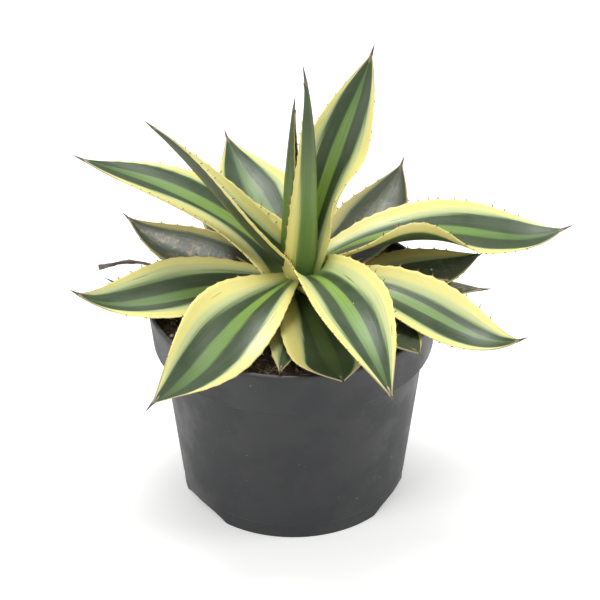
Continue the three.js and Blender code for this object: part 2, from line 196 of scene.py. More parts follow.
pot_plastic, tree, surface = new_material("black_pot_plastic")
place = object_place(tree)
grime = effect(tree, clouds, Vector=place, Scale=28.0, Roughness=0.65)["Value"]
handling = effect(tree, clouds, Vector=place, Scale=9.0, Roughness=0.5)["Value"]
dust = effect(tree, specks, Vector=place, Scale=300.0, Size=0.26, Share=0.05)["Mask"]
crumb_marks = effect(tree, specks, Vector=place, Scale=90.0, Size=0.12, Share=0.05)["Mask"]
scratch_place = node(
    tree, "ShaderNodeMapping", {"Vector": place, "Rotation": (0.3, 0.5, 0.9), "Scale": (160, 900, 160)}
).outputs[0]
scratch = node(tree, "ShaderNodeTexNoise", {"Vector": scratch_place, "Scale": 1.0, "Detail": 2}).outputs[0]
scratches = maths(tree, "MULTIPLY", fade(tree, scratch, 0.71, 0.75), fade(tree, grime, 0.3, 0.8))
height = node(tree, "ShaderNodeSeparateXYZ", {0: place}).outputs[2]
lip_wear = maths(tree, "MULTIPLY", fade(tree, height, *LIP_WEAR), fade(tree, grime, 0.05, 0.75, 0.25, 1.0))
plastic = blended(tree, grime, seen(21, 22, 25), seen(27, 28, 31))
plastic = blended(tree, maths(tree, "MULTIPLY", handling, 0.35), plastic, seen(36, 37, 41))
plastic = blended(tree, maths(tree, "MULTIPLY", scratches, 0.25), plastic, seen(110, 108, 104))
plastic = blended(tree, maths(tree, "MULTIPLY", dust, 0.25), plastic, seen(140, 134, 126))
plastic = blended(tree, maths(tree, "MULTIPLY", crumb_marks, 0.35), plastic, seen(150, 140, 126))
plastic = blended(tree, maths(tree, "MULTIPLY", lip_wear, 0.35), plastic, seen(112, 108, 104))
grain = node(tree, "ShaderNodeTexNoise", {"Vector": place, "Scale": 1500.0, "Detail": 2}).outputs[0]
relief = maths(tree, "ADD", grain, maths(tree, "MULTIPLY", scratches, -1.5))
tree.links.new(plastic, surface["Base Color"])
tree.links.new(fade(tree, grime, 0, 1, 0.42, 0.58), surface["Roughness"])
tree.links.new(bumped(tree, relief, 0.25, 0.0001), surface["Normal"])

bm = turned(POT_OUTSIDE + POT_INSIDE, POT_SIDES)
corners = [edge for edge in bm.edges if edge.is_manifold and edge.calc_face_angle() > radians(POT_SHARP)]
bmesh.ops.bevel(
    bm, geom=corners, offset=POT_ROUNDING / 1000, offset_type="OFFSET", segments=2, profile=0.5,
    affect="EDGES", material=-1, clamp_overlap=True,
)
for corner in bm.verts:
    radius, azimuth = hypot(corner.co.x, corner.co.y) * 1000, degrees(atan2(corner.co.y, corner.co.x))
    if radius < ARCHES["inner"] or corner.co.z * 1000 > ARCHES["under"]:
        continue
    for middle in ARCHES["azimuths"]:
        aside = radians((azimuth - middle + 180) % 360 - 180) * radius / (ARCHES["width"] / 2)
        if abs(aside) < 1:
            rise = ARCHES["height"] * (1 - abs(aside) ** ARCHES["crown"]) ** ARCHES["ends"]
            corner.co.z = rise / 1000 + corner.co.z * (1 - rise / ARCHES["under"])
pot = as_piece(bm, "nursery_pot", [pot_plastic], "pot", "pot")

bm = bmesh.new()
for i in range(DRAINS["count"]):
    turn = Matrix.Rotation(2 * pi * i / DRAINS["count"], 4, "Z")
    radius, place = DRAINS["radius"] / 1000, Matrix.Translation(metres((DRAINS["ring"], 0, DRAINS["middle"])))
    bmesh.ops.create_cone(
        bm, cap_ends=True, segments=DRAINS["sides"], radius1=radius, radius2=radius,
        depth=DRAINS["depth"] / 1000, matrix=turn @ place,
    )
punch_mesh = bpy.data.meshes.new("drain_punch")
bm.to_mesh(punch_mesh)
bm.free()
punch = bpy.data.objects.new("drain_punch", punch_mesh)
bpy.context.scene.collection.objects.link(punch)
cut = pot.modifiers.new("drain_holes", "BOOLEAN")
cut.object = punch
cut.operation = "DIFFERENCE"
cut.solver = "EXACT"
bpy.context.view_layer.update()
holed = bpy.data.meshes.new_from_object(pot.evaluated_get(bpy.context.evaluated_depsgraph_get()))
pot.modifiers.clear()
pot.data = holed
holed.name = "nursery_pot"
bpy.data.objects.remove(punch)

# ---------------------------------------------------------------- soil
# Dark peat compost that fills the pot to a few millimetres below its lip. Its top is loose crumbs and
# pale root and bark fibres on a lumpy bed.

SOIL_EDGE = 81.8  # radius of the soil's top
SOIL_LEVEL = 121
SOIL_MOUND = 3.5
SOIL_FILLING = [
    (0, 2), (48.4, 2), (50.8, 7.5), (63.6, 7.5), (64.6, 10.5), (74.5, 98.4), (79.6, 101), (81.8, 120),
]
SOIL_RINGS = 66
SOIL_SIDES = 200
LUMPS = [(9, 3, 1.1), (2.2, 2, 0.45)]  # how broad they are, in how many octaves, and how high
CRUMBS = {"count": 1500, "inset": 2.5, "small": (0.4, 1.5), "large": (1.5, 2.3), "small_share": 0.9}
CRUMB_ROUGHNESS = 0.35
LITTER = {  # a little heap against the lip, under the leaves on the left
    "count": 70, "azimuth": 160, "spread": 6, "radius": 82, "depth": 5, "height": 8, "fall": 0.6,
    "size": (1, 2.1),
}
FIBRES = {"count": 380, "inset": 6, "length": (4, 13), "thickness": (0.12, 0.32), "sag": 0.075}


def soil_height(x, y):
    """The top of the soil at a place, all in millimetres."""
    share = min(hypot(x, y) / SOIL_EDGE, 1)
    spot = Vector((x, y, 0))
    lumps = sum(noise.fractal(spot / broad, 1.0, 2.0, octaves) * high for broad, octaves, high in LUMPS)
    return SOIL_LEVEL + SOIL_MOUND * (1 - share) ** 2 + lumps


soil_top = [(SOIL_EDGE * (1 - i / SOIL_RINGS), SOIL_LEVEL) for i in range(SOIL_RINGS + 1)]
bm = turned(SOIL_FILLING + soil_top, SOIL_SIDES)
for grain in bm.verts:
    if grain.co.z * 1000 > SOIL_LEVEL - 0.5:
        grain.co.z = soil_height(grain.co.x * 1000, grain.co.y * 1000) / 1000

peat, tree, surface = new_material("peat_compost", Roughness=0.95)
place = object_place(tree)
damp = effect(tree, clouds, Vector=place, Scale=60.0, Roughness=0.6)["Value"]
crumbly = effect(tree, clouds, Vector=place, Scale=420.0, Roughness=0.7)["Value"]
grit = effect(tree, specks, Vector=place, Scale=420.0, Size=0.5, Share=0.16)["Mask"]
earth = blended(tree, crumbly, seen(52, 42, 34), seen(116, 98, 80))
earth = blended(tree, maths(tree, "MULTIPLY", damp, 0.45), earth, seen(46, 37, 30))
earth = blended(tree, maths(tree, "MULTIPLY", grit, 0.6), earth, seen(176, 152, 120))
tree.links.new(earth, surface["Base Color"])
tree.links.new(bumped(tree, crumbly, 0.8, 0.0012), surface["Normal"])
as_piece(bm, "compost", [peat], "soil", "soil")

draw = Random(41)
lump = bmesh.new()
bmesh.ops.create_icosphere(lump, subdivisions=1, radius=0.001)
lump_mesh = bpy.data.meshes.new("crumb")
lump.to_mesh(lump_mesh)
lump.free()
bm = bmesh.new()
for i in range(CRUMBS["count"] + LITTER["count"]):
    radius, azimuth = (SOIL_EDGE - CRUMBS["inset"]) * sqrt(draw.random()), draw.uniform(0, 2 * pi)
    size = draw.uniform(*CRUMBS["small"] if draw.random() < CRUMBS["small_share"] else CRUMBS["large"])
    up = 0
    if i >= CRUMBS["count"]:
        reach = sqrt(draw.random())
        radius = LITTER["radius"] - LITTER["depth"] * reach * draw.random()
        azimuth = radians(LITTER["azimuth"] + LITTER["spread"] * draw.uniform(-1, 1))
        up = LITTER["height"] * (1 - LITTER["fall"] * reach)
        size = draw.uniform(*LITTER["size"])
    x, y = radius * cos(azimuth), radius * sin(azimuth)
    before = len(bm.verts)
    bm.from_mesh(lump_mesh)
    bm.verts.ensure_lookup_table()
    turn = Quaternion((draw.uniform(-1, 1), draw.uniform(-1, 1), draw.uniform(-1, 1)), draw.uniform(0, pi))
    squeeze = Vector((size, size * draw.uniform(0.5, 0.9), size * draw.uniform(0.45, 0.8)))
    centre = Vector(metres((x, y, soil_height(x, y) + 0.25 * size + up)))
    for corner in bm.verts[before:]:
        shaped = corner.co * (1 + CRUMB_ROUGHNESS * draw.uniform(-1, 1))
        corner.co = centre + turn @ Vector((a * b for a, b in zip(shaped, squeeze)))
crumb_peat, tree, surface = new_material("compost_crumbs", Roughness=0.9)
place = object_place(tree)
tone = node(tree, "ShaderNodeTexVoronoi", {"Vector": place, "Scale": 330.0}).outputs["Color"]
tone = node(tree, "ShaderNodeSeparateColor", {0: tone}).outputs
earth = blended(tree, tone[0], seen(54, 43, 35), seen(132, 110, 88))
earth = blended(tree, fade(tree, tone[1], 0.93, 0.97), earth, seen(190, 172, 142))
rough = effect(tree, clouds, Vector=place, Scale=900.0, Roughness=0.7)["Value"]
tree.links.new(earth, surface["Base Color"])
tree.links.new(bumped(tree, rough, 0.6, 0.0006), surface["Normal"])
as_piece(bm, "compost_crumbs", [crumb_peat], "soil")


def rod(sides, steps):
    """A closed unit rod along +Z with rings between its ends, to be tapered and bent."""
    bm = bmesh.new()
    bmesh.ops.create_cone(
        bm, cap_ends=True, segments=sides, radius1=1, radius2=1, depth=1,
        matrix=Matrix.Translation((0, 0, 0.5)),
    )
    upright = [edge for edge in bm.edges if abs(edge.verts[0].co.z - edge.verts[1].co.z) > 0.5]
    bmesh.ops.subdivide_edges(bm, edges=upright, cuts=steps - 1, use_grid_fill=True)
    mesh = bpy.data.meshes.new("rod")
    bm.to_mesh(mesh)
    bm.free()
    return mesh


fibre = rod(4, 5)
bm = bmesh.new()
for _ in range(FIBRES["count"]):
    radius, azimuth = (SOIL_EDGE - FIBRES["inset"]) * sqrt(draw.random()), draw.uniform(0, 2 * pi)
    x, y = radius * cos(azimuth), radius * sin(azimuth)
    heading, tilt = draw.uniform(0, 2 * pi), draw.uniform(-0.1, 0.35)
    length, thick = draw.uniform(*FIBRES["length"]), draw.uniform(*FIBRES["thickness"])
    curl = draw.uniform(-0.5, 0.5)
    along = Vector((cos(heading) * cos(tilt), sin(heading) * cos(tilt), sin(tilt)))
    aside = Vector((-sin(heading), cos(heading), 0))
    over = along.cross(aside)
    foot = Vector((x, y, soil_height(x, y) + 0.1))
    before = len(bm.verts)
    bm.from_mesh(fibre)
    bm.verts.ensure_lookup_table()
    for corner in bm.verts[before:]:
        part = corner.co.z
        middle = foot + along * length * part + (aside * curl - over * FIBRES["sag"]) * length * part**2
        girth = thick * (1.1 - part)
        bent = middle + aside * corner.co.x * girth + over * corner.co.y * girth
        reach = hypot(bent.x, bent.y)
        if reach > SOIL_EDGE - 1:
            bent.x, bent.y = bent.x / reach * (SOIL_EDGE - 1), bent.y / reach * (SOIL_EDGE - 1)
        corner.co = bent / 1000
root_fibre, tree, surface = new_material("root_fibres", Roughness=0.8)
place = object_place(tree)
tone = effect(tree, clouds, Vector=place, Scale=120.0, Roughness=0.5)["Value"]
tree.links.new(blended(tree, tone, seen(92, 66, 44), seen(176, 146, 108)), surface["Base Color"])
as_piece(bm, "compost_fibres", [root_fibre], "soil")

# ---------------------------------------------------------------- stem
# The short fleshy stem of the agave, rooted in the soil. The leaf bases clasp it and hide nearly all of
# it, and it ends in the heart that the young leaves leave.

AXIS_X = 4  # the stem stands a little right of the pot's middle
STEM = [  # radius, and height above the soil
    (0, -22), (8, -22), (11.5, -4), (11.5, 2), (8.25, 16.2), (5, 25), (3, 27), (0, 28),
]
STEM_SIDES = 48
STEM_ROUNDING = 1  # of its edges sharper than the angle below, in degrees
STEM_SHARP = 15

stem_flesh, tree, surface = new_material("stem_flesh", Roughness=0.5)
place = object_place(tree)
height = node(tree, "ShaderNodeSeparateXYZ", {0: place}).outputs[2]
mottle = effect(tree, clouds, Vector=place, Scale=160.0, Roughness=0.6)["Value"]
skin = blended(tree, fade(tree, height, 0.122, 0.14), seen(112, 92, 58), seen(172, 178, 104))
skin = blended(tree, maths(tree, "MULTIPLY", mottle, 0.4), skin, seen(112, 128, 66))
tree.links.new(skin, surface["Base Color"])
tree.links.new(bumped(tree, mottle, 0.5, 0.0005), surface["Normal"])
bm = turned(STEM, STEM_SIDES)
corners = [edge for edge in bm.edges if edge.is_manifold and edge.calc_face_angle() > radians(STEM_SHARP)]
bmesh.ops.bevel(
    bm, geom=corners, offset=STEM_ROUNDING / 1000, offset_type="OFFSET", segments=3, profile=0.5,
    affect="EDGES", material=-1, clamp_overlap=True,
)
bmesh.ops.translate(bm, verts=bm.verts, vec=metres((AXIS_X, 0, SOIL_LEVEL)))
as_piece(bm, "agave_stem", [stem_flesh], "stem", "stem")

# ---------------------------------------------------------------- leaves
# Thick waxy leaves in a spiral round the stem. Each is a channelled blade with a light stripe down its
# middle, a dark green band on both sides of it, and pale yellow margins. Its horny edge carries teeth,
# and it ends in one hard spine.

LEAF = {  # every leaf has the same build, and its own values override these
    "out": 0, "base": 0.5, "widest": 0.56, "taper": 1.7, "sway": 0, "roll": 0, "twist": 0, "flick": 0,
    "channel_base": 55, "channel": 24, "channel_tip": 40, "opening": 3, "ruffle": 0, "crest": 0.5,
    "spine": 7, "teeth": 2, "left_dark": (0.6, 0.65, 0.85), "right_dark": (0.6, 0.65, 0.85),
    "left_under": (0.7, 0.75, 0.9), "right_under": (0.7, 0.75, 0.9),
    "mid": (0, 0, 0), "mid_width": (0.12, 0.13, 0.1), "pale": (0.4, 0.4), "light": 0.5, "old": 0.0,
}
# seat: height on the stem above the soil. azimuth: 0 is +X and 270 the front. Angles are in degrees and
# sizes in millimetres. The stripes are given at three places along the blade, as shares of half its width:
# how far the dark bands reach towards the left and the right margin, above and under, and where the light
# stripe lies and how wide it is. pale is the grey-green share of each margin. The light value, 0 to 1, is how
# strong the light middle stripe is. The age value, 0 to 1, greys and darkens the leaf: partly real ageing,
# and partly painted shade on the low leaves that lie under the others.
LEAVES = [
    dict(
        name="leaf_centre_spear", seat=17, out=5, azimuth=320, rise=86, droop=-6, flick=10, length=128,
        width=29, base=1, widest=0.1, taper=1.6, spine=12, channel_base=85, channel=100, channel_tip=95,
        opening=2,
        teeth=2.2, left_dark=(0.7, 0.75, 0.95), right_dark=(0.6, 0.65, 0.9), left_under=(0.7, 0.75, 0.95),
        right_under=(0.5, 0.57, 0.93), light=0.3, old=0.0,
    ),
    dict(
        name="leaf_centre_inner", seat=24, out=8, azimuth=149, rise=88, droop=-9, roll=10, twist=9,
        length=101.5, width=21.5, base=0.93, widest=0.1, taper=1.8, spine=11, channel_base=80, channel=105,
        channel_tip=90,
        teeth=1.2, left_dark=(0.9, 0.92, 0.95), right_dark=(0.9, 0.92, 0.95), left_under=(0.9, 0.92, 0.95),
        right_under=(0.9, 0.92, 0.95), mid_width=(0.25, 0.25, 0.2), light=0.5, old=0.02,
    ),
    dict(
        name="leaf_left_folded", seat=22, azimuth=185, sway=0, rise=46, droop=-13, flick=-13, roll=-25,
        twist=54, length=128, width=28.5, base=0.6, widest=0.48, taper=1.95, channel_base=100, channel=50,
        channel_tip=50,
        teeth=1.7, left_dark=(0.6, 0.65, 0.8), right_dark=(0.4, 0.45, 0.93), left_under=(0.9, 0.9, 0.93),
        right_under=(0.7, 0.7, 0.85), light=0.5, old=0.2,
    ),
    dict(
        name="leaf_back_tall", seat=22, azimuth=47.5, sway=-2, rise=71, droop=20, flick=15, roll=8, twist=36,
        length=131, width=39, base=0.7, widest=0.56, taper=1.65, channel_base=32, channel=76, channel_tip=18,
        ruffle=28, crest=0.36,
        teeth=1.1, left_dark=(0.45, 0.5, 0.75), right_dark=(0.36, 0.43, 0.7), mid_width=(0.15, 0.16, 0.13),
        pale=(0.45, 0.45), light=1.0, old=0.1,
    ),
    dict(
        name="leaf_front_right", seat=21, out=5, azimuth=290, sway=4, rise=35, droop=72, roll=-8, twist=16,
        length=134.5, width=48.5, base=0.7, widest=0.54, taper=1.55, channel_base=92, channel=46,
        channel_tip=40,
        teeth=2.6, right_under=(0.3, 0.65, 0.9), left_dark=(0.38, 0.45, 0.58), right_dark=(0.33, 0.47, 0.63),
        mid=(0.05, 0.01, -0.03), mid_width=(0.12, 0.16, 0.2), pale=(0.6, 0.35), light=1.0, old=0.05,
    ),
    dict(
        name="leaf_front_left", seat=20, azimuth=238.5, sway=-8, rise=10.5, droop=31, flick=-2, roll=1,
        twist=-75, length=139.5, width=48.5, base=0.15, widest=0.58, taper=1.75, channel_base=37, channel=30,
        channel_tip=17,
        teeth=1.7, left_dark=(0.45, 0.63, 0.93), right_dark=(0.2, 0.33, 0.37), mid=(0.03, 0.09, 0.4),
        mid_width=(0.1, 0.14, 0.2), pale=(0.3, 0.45), light=0.95, old=0.1,
    ),
    dict(
        name="leaf_right_long", seat=20, azimuth=23, sway=-20, rise=25.5, droop=67, flick=67, roll=-23,
        twist=40, length=162, width=50, base=0.3, widest=0.6, taper=1.85, channel_base=44, channel=58,
        channel_tip=5, opening=1, ruffle=38, crest=0.42,
        teeth=2.6, left_dark=(0.38, 0.55, 0.77), right_dark=(0.5, 0.55, 0.9), mid=(0.2, 0.15, -0.05),
        mid_width=(0.12, 0.16, 0.14), pale=(0.5, 0.3), light=0.85, old=0.15,
    ),
    dict(
        name="leaf_left_long", seat=18, azimuth=163.5, sway=11, rise=42, droop=37, flick=21, roll=-23,
        twist=31, length=143, width=37.5, base=1.1, widest=0.52, taper=2.4, channel_base=5, channel=61,
        channel_tip=5,
        teeth=1.7, left_dark=(0.4, 0.1, 0.55), right_dark=(0.6, 0.75, 0.94), mid=(-0.05, -0.2, -0.3),
        mid_width=(0.15, 0.18, 0.15), pale=(0.2, 0.4), light=0.9, old=0.2,
    ),
    dict(
        name="leaf_back_left", seat=17, azimuth=124, sway=-11, rise=33.5, droop=21, flick=30, roll=-12,
        twist=16, length=103, width=48, widest=0.6, taper=1.25, spine=6, channel_base=56, channel=31,
        channel_tip=35,
        teeth=1, left_dark=(0.6, 0.62, 0.73), right_dark=(0.6, 0.6, 0.75), mid=(-0.15, -0.08, -0.07),
        mid_width=(0.17, 0.19, 0.15), pale=(0.5, 0.4), light=0.55, old=0.25,
    ),
    dict(
        name="leaf_left_front", seat=14, azimuth=185, sway=20, rise=5, droop=16, flick=54, roll=-18,
        twist=-14, length=132.5, width=40.5, base=0.15, widest=0.54, taper=1.6, channel_base=45, channel=28,
        channel_tip=44,
        teeth=2.1, left_dark=(0.4, 0.45, 0.75), right_dark=(0.5, 0.47, 0.43), mid=(0.08, 0.12, 0.27),
        mid_width=(0.14, 0.16, 0.14), pale=(0.35, 0.6), light=0.65, old=0.3,
    ),
    dict(
        name="leaf_right_front", seat=15, azimuth=339, sway=-8, rise=15.5, droop=60, flick=80, roll=0,
        twist=26, length=137.5, width=40.5, base=0.2, widest=0.56, taper=1.85, channel_base=80, channel=37,
        channel_tip=21,
        teeth=3, left_dark=(0.45, 0.37, 0.4), right_dark=(0.3, 0.47, 0.73), mid=(0.15, 0.07, -0.05),
        mid_width=(0.13, 0.14, 0.12), pale=(0.5, 0.3), light=0.85, old=0.2,
    ),
    dict(
        name="leaf_back_right", seat=14, azimuth=39, sway=30, rise=4, droop=-23, flick=8, roll=12,
        length=109, width=40, taper=1.6, channel=22,
        teeth=2.2, left_dark=(0.65, 0.7, 0.82), right_dark=(0.9, 0.92, 0.93), mid=(0.13, 0.13, 0.13),
        mid_width=(0.15, 0.2, 0.2), pale=(0.6, 0.6), light=0.3, old=0.85,
    ),
    dict(
        name="leaf_front_short", seat=12, azimuth=280.5, sway=7, rise=-2, droop=0, flick=5, length=97,
        width=45, widest=0.66, taper=3, spine=3, channel=12, channel_tip=26,
        left_dark=(0.4, 0.4, 0.6), right_dark=(0.33, 0.39, 0.8), mid_width=(0.2, 0.2, 0.2), pale=(0.8, 0.2),
        light=0.25, old=0.6,
    ),
    dict(
        name="leaf_front_right_short", seat=12, azimuth=315, rise=5, droop=13, roll=-16, length=94, width=46,
        taper=3.2, spine=3, channel=14, channel_tip=14,
        left_dark=(0.85, 0.85, 0.85), right_dark=(0.7, 0.75, 0.8), light=0.1, old=0.7,
    ),
    dict(
        name="leaf_right_low", seat=11, azimuth=354, sway=40, rise=4, droop=4, flick=6, roll=8, length=110,
        width=40, widest=0.6, spine=4, channel=10,
        teeth=2.3, left_dark=(0.6, 0.5, 0.48), right_dark=(0.93, 0.93, 0.94), light=0.05, old=0.85,
    ),
    dict(
        name="leaf_left_low", seat=11, azimuth=162.4, sway=-15, rise=3, droop=-4, flick=25, roll=-6,
        twist=-6, length=114, width=39, spine=6, channel=30,
        teeth=1.7, left_dark=(0.6, 0.7, 0.93), right_dark=(0.75, 0.77, 0.7), pale=(0.5, 0.4), light=0.1,
        old=0.95,
    ),
    dict(
        name="leaf_left_hidden", seat=9, azimuth=181, rise=1, droop=8, flick=39, length=108, width=30,
        left_dark=(0.8, 0.8, 0.9), right_dark=(0.8, 0.8, 0.9), light=0.1, old=0.9,
    ),
    dict(
        name="leaf_front_sliver", seat=6, azimuth=262.4, rise=4, droop=4, length=84, width=19, taper=2.2,
        spine=3, channel_base=14, channel=12, channel_tip=20,
        left_dark=(0.9, 0.9, 0.9), right_dark=(0.1, 0.1, 0.3), pale=(0.5, 0.9), light=0.1, old=0.65,
    ),
    dict(
        name="leaf_right_tip", seat=6.5, azimuth=354, sway=2, rise=6, droop=4, flick=5, roll=0, twist=6,
        length=105, width=26, channel=12, channel_tip=30,
        left_dark=(0.85, 0.85, 0.9), right_dark=(0.85, 0.85, 0.9), light=0.1, old=0.9,
    ),
    dict(
        name="leaf_back_low", seat=9, azimuth=85, rise=22, droop=30, length=107, width=34,
        light=0.5, old=0.6,
    ),
    dict(
        name="leaf_back_low_left", seat=7, azimuth=128, rise=12, droop=20, flick=12, length=99, width=32,
        light=0.3, old=0.8,
    ),
    dict(
        name="leaf_back_low_right", seat=8, azimuth=52, rise=10, droop=16, flick=10, length=93, width=32,
        light=0.3, old=0.8,
    ),
]
MIDRIB_THICKNESS = (5, 1.4)  # at the stem and at the tip
MARGIN_THICKNESS = 0.8
SPINE_RADIUS = 1.25
SPINE_ROOT = 6  # how far it reaches back into the blade
BLADE_END = 0.5  # half the blade's width where it ends, inside the spine's root
BLADE_ROWS = 130
BLADE_COLUMNS = 40
MIDRIB_STEPS = 40
EDGE_ROUNDING = 0.3
TEETH = {  # places are shares of the blade's length, the rest millimetres, or shares of a tooth's length
    "first": (0.09, 0.13), "last": 0.86, "spacing": (4.5, 10.5), "lengths": (0.65, 1.3), "mound": 0.25,
    "mound_reach": 1.9, "root": 0.6, "width": (0.6, 0.95), "thickness": 0.4, "hook": (-0.6, 1.3),
}
RUFFLE_WAVE = 0.55  # length of the right margin's wave along the blade
RUFFLE_WAVES = 0.6  # how many waves it lasts
STRIPE_PLACES = (0.2, 0.5, 0.85)  # along the blade, where its stripes are given
STRIPES = {"light": 0.2, "dark": 0.65, "pale": 0.8}  # where each ends, in the stripe attribute
STRIPE_LIMITS = (0.08, 0.95)  # how near the midrib and the margin a dark band can end


def leaf_frame(leaf, t):
    """The midrib's place, and the blade's directions there, at t from 0 at the stem to 1 at its end."""
    foot = radians(leaf["azimuth"])
    point = Vector((AXIS_X, 0, SOIL_LEVEL + leaf["seat"])) + Vector((cos(foot), sin(foot), 0)) * leaf["out"]
    for i in range(MIDRIB_STEPS + 1):
        at = t * min(i + 0.5, MIDRIB_STEPS) / MIDRIB_STEPS
        slope = radians(leaf["rise"] - leaf["droop"] * at + leaf["flick"] * at**5)
        heading = radians(leaf["azimuth"] + leaf["sway"] * at)
        along = Vector((cos(slope) * cos(heading), cos(slope) * sin(heading), sin(slope)))
        if i < MIDRIB_STEPS:
            point += along * leaf["length"] * t / MIDRIB_STEPS
    heading = radians(leaf["azimuth"] + leaf["sway"] * t)
    side = Vector((-sin(heading), cos(heading), 0))
    side.rotate(Quaternion(along, radians(leaf["roll"] + leaf["twist"] * t)))
    return point, along, side, along.cross(side)


def half_width(leaf, t):
    if t < leaf["widest"]:
        share = leaf["base"] + (1 - leaf["base"]) * sin(t / leaf["widest"] * pi / 2) ** 1.3
    else:
        share = (1 - min((t - leaf["widest"]) / (1 - leaf["widest"]), 1) ** leaf["taper"]) ** 1.1
    return max(leaf["width"] / 2 * share, BLADE_END)


def channel_tilt(leaf, t, u):
    near_stem = (leaf["channel_base"] - leaf["channel"]) * (1 - t) ** leaf["opening"]
    near_tip = (leaf["channel_tip"] - leaf["channel"]) * t**3
    past = (t - leaf["crest"]) / RUFFLE_WAVE
    wave = leaf["ruffle"] * cos(past * pi * 2) * exp(-((past / RUFFLE_WAVES) ** 2)) if u < 0 else 0
    return radians(leaf["channel"] + near_stem + near_tip + wave)


def blade_point(leaf, directions, t, u, depth, bulge=0.0):
    """A point of the blade: u is -1 to 1 across it, and depth 0 on its upper face to 1 on its lower."""
    point, _, side, face = directions
    tilt = channel_tilt(leaf, t, u)
    half = half_width(leaf, t)
    midrib = MIDRIB_THICKNESS[0] + (MIDRIB_THICKNESS[1] - MIDRIB_THICKNESS[0]) * sqrt(t)
    thickness = MARGIN_THICKNESS + (midrib - MARGIN_THICKNESS) * (1 - u * u)
    radius = half / tilt + thickness * depth
    angle = tilt * u * (1 + bulge * abs(u) ** 6 / half)
    return point + side * radius * sin(angle) + face * (half / tilt - radius * cos(angle))


def tooth_places(leaf, draw):
    """Places along one margin, with each tooth's length."""
    places, t = [], draw.uniform(*TEETH["first"])
    while t < TEETH["last"]:
        fullness = sin(min(t / 0.3, 1) * pi / 2) * (1 if t < 0.6 else 1 - (t - 0.6) * 2)
        places.append((t, leaf["teeth"] * draw.uniform(*TEETH["lengths"]) * (0.45 + 0.55 * fullness)))
        t += draw.uniform(*TEETH["spacing"]) / leaf["length"]
    return places


def mound_height(leaf, t, places):
    """How far a margin swells out at t, under the teeth that stand near."""
    away = [((t - place) * leaf["length"] / TEETH["mound_reach"], length) for place, length in places]
    return sum(TEETH["mound"] * length * exp(-(gap**2)) for gap, length in away)


def along_blade(values, t):
    """The value at t of a smooth curve through the values at the stripe places."""
    (a, b, c), (x, y, z) = values, STRIPE_PLACES
    first = a * (t - y) * (t - z) / ((x - y) * (x - z))
    second = b * (t - x) * (t - z) / ((y - x) * (y - z))
    return first + second + c * (t - x) * (t - y) / ((z - x) * (z - y))


def place_across(leaf, stripe, t, under):
    """Where a place in the stripes lies across the blade: columns of faces follow the stripes' edges."""
    sign = 1 if stripe > 0 else -1
    reach = along_blade(leaf[("left" if stripe > 0 else "right") + ("_under" if under else "_dark")], t)
    nearest, furthest = STRIPE_LIMITS
    reach = min(max(reach, nearest), furthest)
    reach += (furthest - reach) * max((t - 0.9) / 0.1, 0) ** 2
    middle = sign * along_blade(leaf["mid"], t)
    light = along_blade(leaf["mid_width"], t)
    middle = min(max(middle, -0.9), reach - light - 0.05)
    pale = reach + (1 - reach) * leaf["pale"][0 if stripe > 0 else 1]
    edges = {"light": middle + light, "dark": reach, "pale": pale}
    stops = [(0, middle), *((STRIPES[name], edge) for name, edge in edges.items()), (1, 1)]
    share = abs(stripe)
    for (low, start), (high, end) in zip(stops, stops[1:]):
        if share <= high:
            return sign * (start + (end - start) * (share - low) / (high - low))
    return sign


# Thin lines that run along a leaf, as its fibres do.
fibre_inputs = dict.fromkeys(("Across", "Along", "Seed", "Fineness", "Stretch"), "Float")
fibres, given, out = new_effect("Leaf fibres", fibre_inputs, {"Value": "Float"})
lengthways = maths(fibres, "MULTIPLY", given["Along"], given["Stretch"])
crossways = maths(fibres, "MULTIPLY", given["Across"], given["Fineness"])
spot = node(fibres, "ShaderNodeCombineXYZ", {0: crossways, 1: lengthways, 2: given["Seed"]}).outputs[0]
line = node(fibres, "ShaderNodeTexNoise", {"Vector": spot, "Scale": 1.0, "Detail": 3, "Roughness": 0.55})
fibres.links.new(line.outputs[0], out["Value"])


def attribute(tree, name, output="Fac"):
    return node(tree, "ShaderNodeAttribute", attribute_name=name).outputs[output]


def parts_of(tree, name):
    return node(tree, "ShaderNodeSeparateXYZ", {0: attribute(tree, name, "Vector")}).outputs


def colour_steps(tree, value, steps):
    """Colours along a value: each step is a place from 0 to 1 and a colour."""
    made = node(tree, "ShaderNodeValToRGB", {0: value})
    points = made.color_ramp.elements
    while len(points) < len(steps):
        points.new(1)
    for point, (place, colour) in zip(points, steps):
        point.position = place
        point.color = seen(*colour)
    return made.outputs[0]


leaf_skin, tree, surface = new_material("striped_leaf", Specular_IOR_Level=0.5)
place = object_place(tree)
across, along, under = parts_of(tree, "blade_place")
light, old, seed = parts_of(tree, "leaf_look")
stripe = attribute(tree, "stripe")
broad = effect(tree, fibres, Across=across, Along=along, Seed=seed, Fineness=7.0, Stretch=1.6)["Value"]
fine = effect(tree, fibres, Across=across, Along=along, Seed=seed, Fineness=22.0, Stretch=2.0)["Value"]
veins = effect(tree, fibres, Across=across, Along=along, Seed=seed, Fineness=75.0, Stretch=2.5)["Value"]
# Lines along the blade for the painted shadow streaks in the margin band.
shadow_streak_lines = effect(tree, fibres, Across=across, Along=along, Seed=seed, Fineness=16.0, Stretch=3.5)["Value"]
width = maths(tree, "ABSOLUTE", stripe)
wander = maths(tree, "MULTIPLY", maths(tree, "SUBTRACT", broad, 0.5), 0.14)
fray = maths(tree, "MULTIPLY", maths(tree, "SUBTRACT", fine, 0.5), 0.12)
band = maths(tree, "ADD", width, maths(tree, "ADD", wander, fray))
upper = colour_steps(tree, band, [
    (0.0, (56, 77, 42)), (0.25, (48, 67, 37)), (0.6, (50, 70, 41)), (0.64, (64, 86, 51)),
    (0.67, (124, 144, 96)), (0.71, (184, 196, 140)), (0.78, (216, 220, 156)), (0.83, (240, 232, 146)),
    (1.0, (246, 234, 146)),
])
